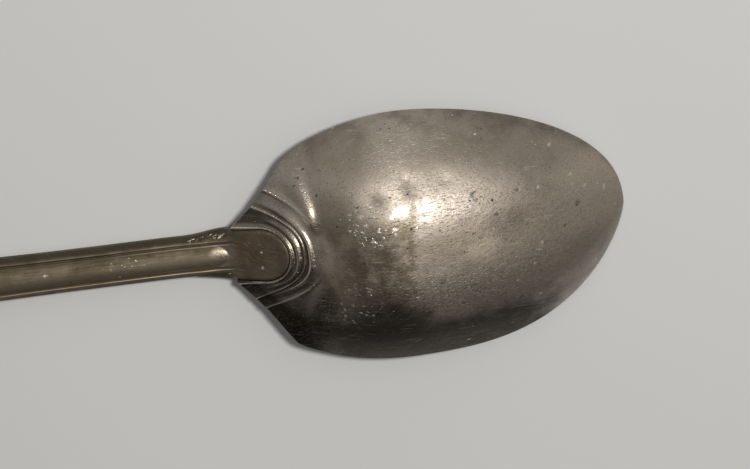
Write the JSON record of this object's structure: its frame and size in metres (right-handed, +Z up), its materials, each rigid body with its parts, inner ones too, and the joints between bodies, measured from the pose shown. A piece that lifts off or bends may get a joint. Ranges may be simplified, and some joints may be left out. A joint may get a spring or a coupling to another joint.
{
  "type": "stew spoon",
  "caption": "Large old serving spoon lying on its face: egg-shaped worn bowl with ribbed heel, round drop and a threaded handle, for ladling stew.",
  "frame": {"origin": "on the table under the middle of the spoon's length and width", "axes": "+X along the spoon towards the bowl's tip, +Z up towards the back of the spoon, which lies on its face"},
  "size_m": [0.3, 0.0628, 0.0241],
  "materials": {
    "worn_bowl_metal": "satin",
    "worn_handle_metal": "satin",
    "hard_solder": "satin"
  },
  "bodies": {
    "root": {"bowl": "worn_bowl_metal", "handle": "worn_handle_metal", "solder": "hard_solder"}
  },
  "joints": []
}
